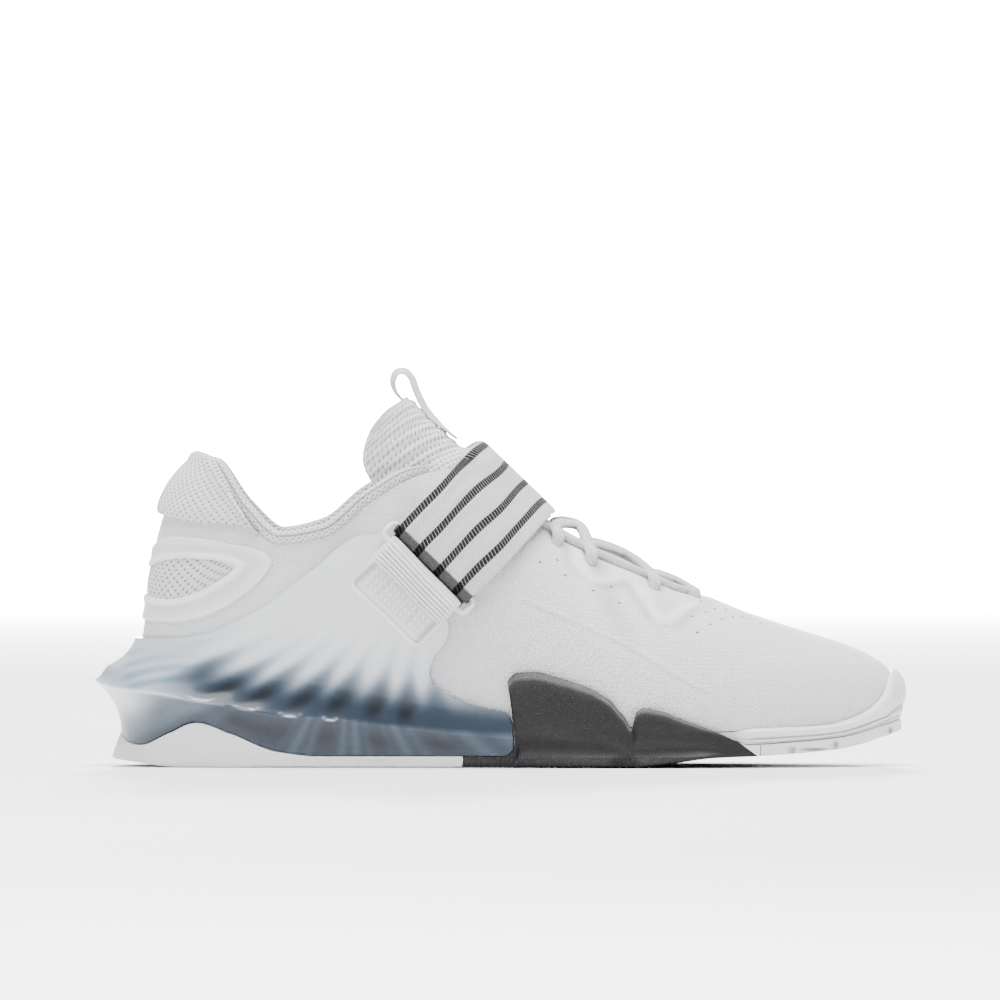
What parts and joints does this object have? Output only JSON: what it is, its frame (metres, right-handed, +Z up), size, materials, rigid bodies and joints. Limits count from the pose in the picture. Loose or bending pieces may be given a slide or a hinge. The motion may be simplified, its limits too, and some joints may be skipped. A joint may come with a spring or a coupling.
{
  "type": "weightlifting shoe",
  "caption": "Right weightlifting shoe in white knit with a raised heel in a translucent blue clip, an instep strap through a ring, and a dark forefoot sole.",
  "frame": {"origin": "on the floor under the middle of the heel's flat tread", "axes": "+X towards the toe, +Y towards the inner side of the foot, +Z up"},
  "size_m": [0.3001, 0.1059, 0.1465],
  "materials": {
    "knit": "matte",
    "padded_mesh": "matte",
    "webbing": "matte",
    "lace": "matte",
    "foam": "matte",
    "clip_shell": "gloss",
    "moulded_film": "satin",
    "white_rubber": "matte",
    "dark_rubber": "matte"
  },
  "bodies": {
    "root": {"outsole_heel": "white_rubber", "outsole_forefoot": "dark_rubber", "outsole_toe": "white_rubber", "midsole": "foam", "insole": "padded_mesh", "upper": "knit", "heel_clip": "clip_shell", "counter_frame": "moulded_film", "heel_pad": "padded_mesh", "collar_roll": "knit", "tongue": "padded_mesh", "pull_loop": "webbing", "strap": "webbing", "strap_ring": "foam", "strap_anchor": "moulded_film", "laces": "lace"}
  },
  "joints": []
}
